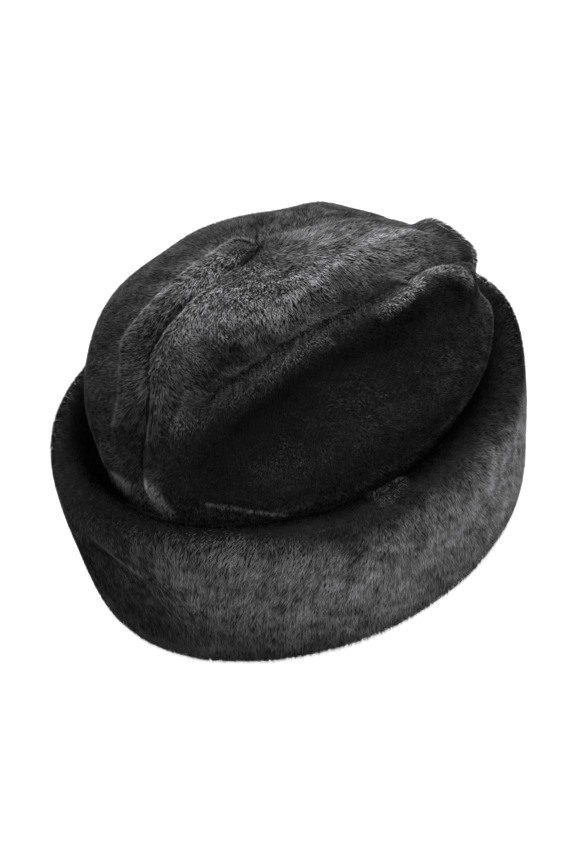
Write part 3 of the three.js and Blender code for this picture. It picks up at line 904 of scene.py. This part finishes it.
def along_lines(points, lines):
    """How far the lines sink the pile at each point, and how much the shade or highlight painted along them
    changes its tone.
    """
    sink, tone = np.zeros(len(points)), np.ones(len(points))
    for half, sunk, shade, line in lines:
        low, high = line.min(axis=0) - 3 * half, line.max(axis=0) + 3 * half
        near = np.nonzero(((points > low) & (points < high)).all(axis=1))[0]
        at = points[near]
        apart = np.full(len(near), np.inf)
        for a, b in zip(line, line[1:]):
            along = b - a
            share = np.clip((at - a) @ along / max(along @ along, 1e-12), 0, 1)
            apart = np.minimum(apart, ((at - a - share[:, None] * along) ** 2).sum(axis=1))
        weight = np.exp(-(apart / (half * half)) ** 2)
        sink[near] += sunk * weight
        tone[near] *= 1 + (shade - 1) * weight
    return sink, tone


def skin_arrays(mesh):
    """What the pile needs of a cloth: its points' places, normals, rises, places on the smooth form and
    depths of pile, and its triangles."""
    mesh.calc_loop_triangles()
    count = len(mesh.vertices)
    points, out = np.zeros(count * 3), np.zeros(count * 3)
    mesh.vertices.foreach_get("co", points)
    mesh.vertices.foreach_get("normal", out)
    rise = np.zeros(count)
    mesh.attributes["rise"].data.foreach_get("value", rise)
    corners = np.zeros(len(mesh.loop_triangles) * 3, np.int32)
    mesh.loop_triangles.foreach_get("vertices", corners)
    form, depth = np.zeros(count * 3), np.zeros(count)
    mesh.attributes["form"].data.foreach_get("vector", form)
    mesh.attributes["depth"].data.foreach_get("value", depth)
    points, out, form, corners = (a.reshape(-1, 3) for a in (points, out, form, corners))
    return points, out, rise, form, depth, corners


def downhill(points, out, rise, corners):
    """The direction in the surface in which rise falls, at each point."""
    a, b, c = (points[corners[:, k]] for k in range(3))
    face = np.cross(b - a, c - a)
    fa, fb, fc = (rise[corners[:, k]][:, None] for k in range(3))
    slope = np.cross(face, (c - b) * fa + (a - c) * fb + (b - a) * fc)
    slope /= np.maximum((face * face).sum(axis=1), 1e-20)[:, None]
    total = np.zeros_like(points)
    for k in range(3):
        np.add.at(total, corners[:, k], slope * np.linalg.norm(face, axis=1)[:, None])
    down = -total
    down -= out * (down * out).sum(axis=1)[:, None]
    return unit(down)


def tuft_of(roots, size):
    """The middle of the tuft that each hair belongs to: the nearest of a jittered grid of points."""
    cell = np.floor(roots / size).astype(np.int64)
    best = np.full(len(roots), np.inf)
    found = roots.copy()
    for dx in (-1, 0, 1):
        for dy in (-1, 0, 1):
            for dz in (-1, 0, 1):
                near = cell + (dx, dy, dz)
                mixed = (near[:, 0] * 73856093) ^ (near[:, 1] * 19349663) ^ (near[:, 2] * 83492791)
                mixed = (mixed + SEEDS["tufts"] * 7919) & 0x7FFFFFFF
                shift = np.stack([((mixed * k) % 100003) / 100003 for k in (48271, 69621, 39373)], axis=-1)
                middle = (near + shift) * size
                apart = ((middle - roots) ** 2).sum(axis=1)
                closer = apart < best
                best[closer] = apart[closer]
                found[closer] = middle[closer]
    return found


def grow_pile(cloth, name, form, rows, lines, shown, on_top, look, parts):
    """Grows hairs on a cloth where shown(rise, point) is true, and makes pieces of them. on_top is 1
    where the pile runs one way over the top, as on the crown, and 0 elsewhere."""
    rng = np.random.default_rng(SEEDS[name])
    points, out, rise, form_points, depth, corners = skin_arrays(cloth.data)
    down = downhill(points, out, rise, corners)
    a, b, c = (points[corners[:, k]] for k in range(3))
    areas = np.linalg.norm(np.cross(b - a, c - a), axis=1) / 2
    areas = areas * shown(rise[corners].mean(axis=1), (a + b + c) / 3)
    count = int(areas.sum() * SQUARE_MM * look.density)
    picked = np.searchsorted(np.cumsum(areas) / areas.sum(), rng.random(count))
    weights = rng.dirichlet((1, 1, 1), count)
    corner = corners[picked]

    def at(values):
        return np.einsum("nk...,nk->n...", values[corner], weights)

    root, normal, up, place = at(points), unit(at(out)), at(rise), at(form_points)
    run = np.array(direction(TOP_RUN["turn"], 0))
    comb_down = lerp(at(down), run, smooth(up, *TOP_RUN["rises"])[:, None] * on_top)
    comb_down = unit(comb_down - normal * (comb_down * normal).sum(axis=1)[:, None])
    side = np.cross(normal, comb_down)
    hair_turn = np.arctan2(root[:, 0] - HAT_AXIS[0], HAT_AXIS[1] - root[:, 1])
    comb, lift, tone = pile_at(place, rows, form.spots([row[:2] for row in rows]))
    lift = lerp(lift, TOP_LIFT["lift"], smooth(up, *TOP_LIFT["rises"]) * on_top)
    line_paths = [(*facts, through(form.spots(path))) for _, *facts, path in lines]
    sink, painted_shade_and_light = along_lines(place, line_paths)
    root = root - normal * sink[:, None]

    comb = np.radians(comb + uneven("comb", root, rng))
    lift = np.radians(np.clip(lift + uneven("lift", root, rng), *LIFT_LIMITS))
    way = comb_down * np.cos(comb)[:, None] + side * np.sin(comb)[:, None]
    height = at(depth) * np.clip(1 + uneven("depth", root, rng), *DEPTH_LIMITS)
    reach = np.minimum(height * look.lean / np.tan(lift), look.reach)
    pull = tuft_of(root, look.clump) - root
    pull -= normal * (pull * normal).sum(axis=1)[:, None]
    high, *facts = TUFT_PULL["waves"]
    pull *= np.clip(TUFT_PULL["share"] + high * waves(root, *facts), *TUFT_PULL["limits"])[:, None]
    middle = (root + normal * (height * HAIR_MIDDLE["height"])[:, None]
              + way * (reach * HAIR_MIDDLE["reach"])[:, None] + pull * HAIR_MIDDLE["pull"])
    tip = root + normal * height[:, None] + way * reach[:, None] + pull

    flat = unit(np.cross(normal, tip - root))
    edge = unit(np.cross(tip - root, flat))
    twist = rng.uniform(*HAIR_TWIST, count)[:, None]
    half = look.width * rng.uniform(*HAIR_HALF, count)[:, None]
    across = (flat * np.cos(twist) + edge * np.sin(twist)) * half
    hairs = np.stack([root, middle - across, middle + across, tip], axis=1)
    hairs[:, :, 2] = np.maximum(hairs[:, :, 2], FLOOR_CLEARANCE)
    # The hairs' tone: painted shade and highlight from the table and the lines, with random unevenness
    tone = tone * painted_shade_and_light * (1 + uneven("tone", root, rng))
    shade = np.clip((tone - TONES[0]) / (TONES[1] - TONES[0]), 0.01, 0.99)

    # The last digits of a hair's turn deal it to a piece, so each piece has hairs from all round
    part_of = (hair_turn / (2 * math.pi) % 1 * 1000003 // 1 % parts).astype(int)
    material = material_of("black_modacrylic_pile", pile_material, look)
    return [hair_piece(f"{name}_pile_{k + 1}", hairs[part_of == k], shade[part_of == k], material)
            for k in range(parts)]


def hair_piece(name, hairs, shade, material):
    """One mesh of many hairs, each a bent kite of two triangles with its colour's place as its UV."""
    count = len(hairs)
    mesh = bpy.data.meshes.new(name)
    mesh.vertices.add(count * 4)
    mesh.vertices.foreach_set("co", hairs.reshape(-1).astype(np.float32))
    pattern = np.array([0, 2, 1, 1, 2, 3])
    indices = (np.arange(count)[:, None] * 4 + pattern).astype(np.int32).reshape(-1)
    mesh.loops.add(count * 6)
    mesh.loops.foreach_set("vertex_index", indices)
    mesh.polygons.add(count * 2)
    mesh.polygons.foreach_set("loop_start", np.arange(0, count * 6, 3, dtype=np.int32))
    mesh.polygons.foreach_set("loop_total", np.full(count * 2, 3, np.int32))
    layer = mesh.uv_layers.new(name="OFBake")
    # Across is the hair's shade, a little wider at the middle so that no triangle is flat, and up its length
    side = np.array([0, 0.004, -0.004, -0.004, 0.004, 0])
    along = np.array([0.02, 0.42, 0.42, 0.42, 0.42, 0.98])
    uv = np.stack([shade[:, None] + side, np.broadcast_to(along, (count, 6))], axis=-1)
    layer.data.foreach_set("uv", uv.reshape(-1).astype(np.float32))
    mesh.update(calc_edges=True)
    mesh.validate()
    return add_piece(name, mesh, [material], smoothed=False)


class HAT_OT_crown_cloth(Operator):
    """Builds the two cloth panels of the crown"""

    bl_idname = "fur_hat.crown_cloth"
    bl_label = "Crown cloth"

    def execute(self, context):
        sizes = context.scene.hat_sizes
        crown = Crown(sizes)
        backing = material_of("black_knitted_pile_backing", cloth_material, *BACKING_CLOTH.values())
        lining = material_of("black_satin_lining", cloth_material, list(context.scene.pile_look.lining),
                             *LINING_THREAD.values())
        for side, name in ((-1, "crown_left"), (1, "crown_right")):
            bm = crown_skin(crown, side, sizes.pile_depth)
            mesh = bmesh_to_mesh(bm, f"{name}_panel")
            panel = add_piece(f"{name}_panel", mesh, [backing, lining])
            thick = panel.modifiers.new("cloth", "SOLIDIFY")
            thick.thickness = sizes.backing
            thick.offset = -1
            thick.material_offset = 1
            thick.material_offset_rim = 1
            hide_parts(name)
        return {"FINISHED"}


class HAT_OT_cuff_cloth(Operator):
    """Builds the folded band of the cuff"""

    bl_idname = "fur_hat.cuff_cloth"
    bl_label = "Cuff cloth"

    def execute(self, context):
        sizes = context.scene.hat_sizes
        panels = bmesh.new()
        for name in ("crown_left_panel", "crown_right_panel"):
            panels.from_mesh(bpy.data.objects[name].data)
        crown_tree = BVHTree.FromBMesh(panels)
        panels.free()
        bm = cuff_skin(Cuff(sizes), sizes.pile_depth, crown_tree)
        band = add_piece("cuff_band", bmesh_to_mesh(bm, "cuff_band"),
                         [bpy.data.materials["black_knitted_pile_backing"]])
        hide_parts("cuff")
        return {"FINISHED"}


class HAT_OT_pile(Operator):
    """Grows the pile on the crown and the cuff"""

    bl_idname = "fur_hat.pile"
    bl_label = "Pile"

    def execute(self, context):
        sizes, look = context.scene.hat_sizes, context.scene.pile_look
        crown = Crown(sizes)
        for name in ("crown_left", "crown_right"):
            panel = bpy.data.objects[f"{name}_panel"]
            piles = grow_pile(panel, name, crown, CROWN_PILE, CROWN_LINES,
                              lambda rise, point: rise > CROWN_PILE_FROM, 1, look, 2)
        grow_pile(bpy.data.objects["cuff_band"], "cuff", Cuff(sizes), CUFF_PILE, CUFF_LINES,
                  lambda rise, point: (rise < CUFF_PILE_TO) & (point[:, 2] > CUFF_PILE_ABOVE), 0, look, 3)
        return {"FINISHED"}


def direction(azimuth, elevation):
    """The way to a place at an azimuth, from the hat's front towards its right, and an elevation."""
    a, e = math.radians(azimuth), math.radians(elevation)
    return Vector((math.sin(a) * math.cos(e), -math.cos(a) * math.cos(e), math.sin(e)))


def pieces_named(start):
    """A collection of the pieces whose names start so."""
    group = bpy.data.collections.new(f"lit_{start}")
    for piece in bpy.context.scene.objects:
        if piece.name.startswith(start):
            group.objects.link(piece)
    return group


class HAT_OT_stage(Operator):
    """Sets up the floor, the lights and the camera"""

    bl_idname = "fur_hat.stage"
    bl_label = "Stage"

    def execute(self, context):
        scene = context.scene
        scene.view_settings.view_transform = "Standard"
        bm = bmesh.new()
        bmesh.ops.create_grid(bm, x_segments=2, y_segments=2, size=FLOOR["half"])
        floor = bpy.data.objects.new("floor", bmesh_to_mesh(bm, "floor"))
        scene.collection.objects.link(floor)
        floor.data.materials.append(material_of("white_opal_acrylic", light_table_material))
        floor.location.z = -FLOOR["below"]
        world = bpy.data.worlds.new("studio")
        world.use_nodes = True
        background = world.node_tree.nodes["Background"]
        background.inputs["Color"].default_value = (1, 1, 1, 1)
        background.inputs["Strength"].default_value = ROOM_LIGHT
        scene.world = world
        target = Vector(CAMERA["target"])
        for name, azimuth, elevation, distance, size, power, lit in LIGHTS:
            light = bpy.data.lights.new(name, "AREA")
            light.size = size
            light.energy = power
            lamp = bpy.data.objects.new(name, light)
            scene.collection.objects.link(lamp)
            back = direction(azimuth, elevation)
            lamp.location = target + back * distance
            lamp.rotation_mode = "QUATERNION"
            lamp.rotation_quaternion = (-back).to_track_quat("-Z", "Y")
            lamp.light_linking.receiver_collection = pieces_named(lit)
        lens = bpy.data.cameras.new("camera")
        camera = bpy.data.objects.new("camera", lens)
        scene.collection.objects.link(camera)
        lens.lens = CAMERA["lens"]
        lens.sensor_width = CAMERA["film"]
        lens.shift_x, lens.shift_y = CAMERA["shift"]
        lens.clip_start, lens.clip_end = CAMERA["sees"]
        back = direction(CAMERA["azimuth"], CAMERA["elevation"])
        right = direction(CAMERA["azimuth"] + 90, 0)
        roll = math.radians(CAMERA["roll"])
        up = back.cross(right)
        turned_right = right * math.cos(roll) + up * math.sin(roll)
        turned_up = up * math.cos(roll) - right * math.sin(roll)
        camera.matrix_world = Matrix.Translation(target + back * CAMERA["distance"]) @ Matrix(
            (turned_right, turned_up, back)).transposed().to_4x4()
        scene.camera = camera
        return {"FINISHED"}


class HAT_PT_panel(Panel):
    """The hat's sizes, its pile and the steps that build it"""

    bl_idname = "HAT_PT_panel"
    bl_label = "Fur hat"
    bl_space_type = "VIEW_3D"
    bl_region_type = "UI"
    bl_category = "Fur hat"

    def draw(self, context):
        for group in (context.scene.hat_sizes, context.scene.pile_look):
            box = self.layout.box()
            for name in group.__annotations__:
                box.prop(group, name)
        for step in STEPS:
            self.layout.operator(step.bl_idname)


STEPS = (HAT_OT_crown_cloth, HAT_OT_cuff_cloth, HAT_OT_pile, HAT_OT_stage)
CLASSES = (HatSizes, PileLook, *STEPS, HAT_PT_panel)


def register():
    for kind in CLASSES:
        bpy.utils.register_class(kind)
    bpy.types.Scene.hat_sizes = PointerProperty(type=HatSizes)
    bpy.types.Scene.pile_look = PointerProperty(type=PileLook)


def unregister():
    del bpy.types.Scene.pile_look
    del bpy.types.Scene.hat_sizes
    for kind in reversed(CLASSES):
        bpy.utils.unregister_class(kind)


def main():
    register()
    for step in STEPS:
        group, name = step.bl_idname.split(".")
        getattr(getattr(bpy.ops, group), name)()


if __name__ == "__main__":
    main()
